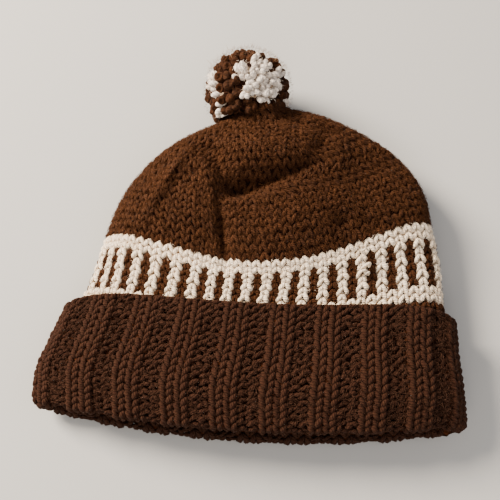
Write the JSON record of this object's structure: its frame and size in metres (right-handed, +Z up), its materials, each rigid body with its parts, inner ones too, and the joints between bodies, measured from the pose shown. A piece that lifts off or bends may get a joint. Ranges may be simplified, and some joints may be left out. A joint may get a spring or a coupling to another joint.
{
  "type": "stocking cap",
  "caption": "Knitted stocking cap with a turned-up ribbed cuff, a striped two-colour band, a domed crown and a yarn pompom, lying on its back.",
  "frame": {"origin": "middle of the footprint, on the surface that the cap lies on", "axes": "+Z up through the front layer, +Y from the opening towards the crown and pompom, +X to the right when the opening is nearest"},
  "size_m": [0.2348, 0.2338, 0.054],
  "materials": {
    "brown_knit": "matt worsted yarn, stocking stitch, slightly fuzzy",
    "striped_knit": "matt worsted yarn, cream and brown stranded stripes",
    "brown_rib": "matt worsted yarn, wide ribbing",
    "pompom_yarn": "trimmed ends of brown and cream yarn"
  },
  "bodies": {
    "root": {"crown": "brown_knit", "patterned_band": "striped_knit", "ribbed_cuff": "brown_rib", "pompom": "pompom_yarn", "pompom_tie": "brown_knit"}
  },
  "joints": []
}
